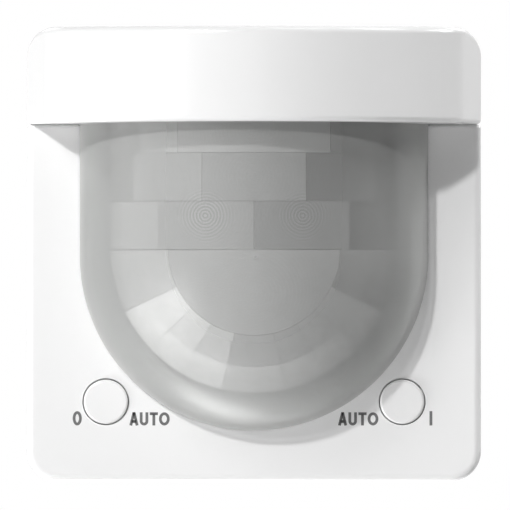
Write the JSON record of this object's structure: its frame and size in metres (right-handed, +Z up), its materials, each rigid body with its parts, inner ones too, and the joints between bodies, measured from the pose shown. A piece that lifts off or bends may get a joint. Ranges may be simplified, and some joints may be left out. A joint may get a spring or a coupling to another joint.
{
  "type": "motion detector",
  "caption": "Square white wall motion detector with a curved hood over a translucent dome lens and two round mode buttons.",
  "frame": {"origin": "centre of the rear seat plane, where the housing rests on the flush-mounted insert", "axes": "+Z up, +X to the viewer's right, -Y out of the wall towards the viewer"},
  "size_m": [0.065, 0.0505, 0.065],
  "materials": {
    "cover_white": "smooth gloss",
    "window_white": "translucent satin",
    "lens_white": "translucent, grooved",
    "housing_grey": "fine texture",
    "inner_black": "matt",
    "board_green": "solder mask",
    "steel": "satin",
    "filter_glass": "dark mirror",
    "led_clear": "clear red",
    "chip_black": "moulded",
    "aluminium_can": "satin",
    "trimmer_blue": "moulded",
    "rotor_white": "moulded",
    "contact_brass": "plated"
  },
  "bodies": {
    "housing": {"front_cover": "cover_white", "lens_window": "window_white", "fresnel_lens": "lens_white", "lens_frame": "inner_black", "switch_bodies": "inner_black", "main_board": "board_green", "board_screws": "steel", "rear_housing": "housing_grey", "retaining_springs": "steel", "sensor_holder": "inner_black", "pir_sensor_left": "steel", "pir_sensor_right": "steel", "pir_filters": "filter_glass", "status_led": "led_clear", "brightness_sensor": "led_clear", "microcontroller": "chip_black", "capacitor": "aluminium_can", "smd_parts": "chip_black", "trimmer_bodies": "trimmer_blue", "plug_block": "inner_black", "contact_pins": "contact_brass"},
    "off_key": {"button_off": "cover_white", "switch_plunger_off": "rotor_white"},
    "on_key": {"button_on": "cover_white", "switch_plunger_on": "rotor_white"},
    "sensitivity_dial": {"sensitivity_rotor": "rotor_white"},
    "brightness_dial": {"brightness_rotor": "rotor_white"},
    "time_dial": {"time_rotor": "rotor_white"},
    "left_shutter": {"shutter_left": "inner_black"},
    "right_shutter": {"shutter_right": "inner_black"}
  },
  "joints": [
    {"name": "off_press", "type": "slide", "parent": "housing", "child": "off_key", "axis": [0, 1, 0], "range_m": [0, 0.0004], "stiffness_N_per_m": 2500},
    {"name": "on_press", "type": "slide", "parent": "housing", "child": "on_key", "axis": [0, 1, 0], "range_m": [0, 0.0004], "stiffness_N_per_m": 2500},
    {"name": "sensitivity_turn", "type": "hinge", "parent": "housing", "child": "sensitivity_dial", "pos_m": [-0.013, 0.0075, 0.013], "axis": [0, 1, 0], "range_deg": [-135, 135]},
    {"name": "brightness_turn", "type": "hinge", "parent": "housing", "child": "brightness_dial", "pos_m": [0, 0.0075, 0.013], "axis": [0, 1, 0], "range_deg": [-135, 135]},
    {"name": "time_turn", "type": "hinge", "parent": "housing", "child": "time_dial", "pos_m": [0.013, 0.0075, 0.013], "axis": [0, 1, 0], "range_deg": [-135, 135]},
    {"name": "left_shutter_swing", "type": "hinge", "parent": "housing", "child": "left_shutter", "pos_m": [-0.0107, -0.0063, 0.004], "axis": [0, 0, 1], "range_deg": [0, 90]},
    {"name": "right_shutter_swing", "type": "hinge", "parent": "housing", "child": "right_shutter", "pos_m": [0.0107, -0.0063, 0.004], "axis": [0, 0, -1], "range_deg": [0, 90]}
  ]
}
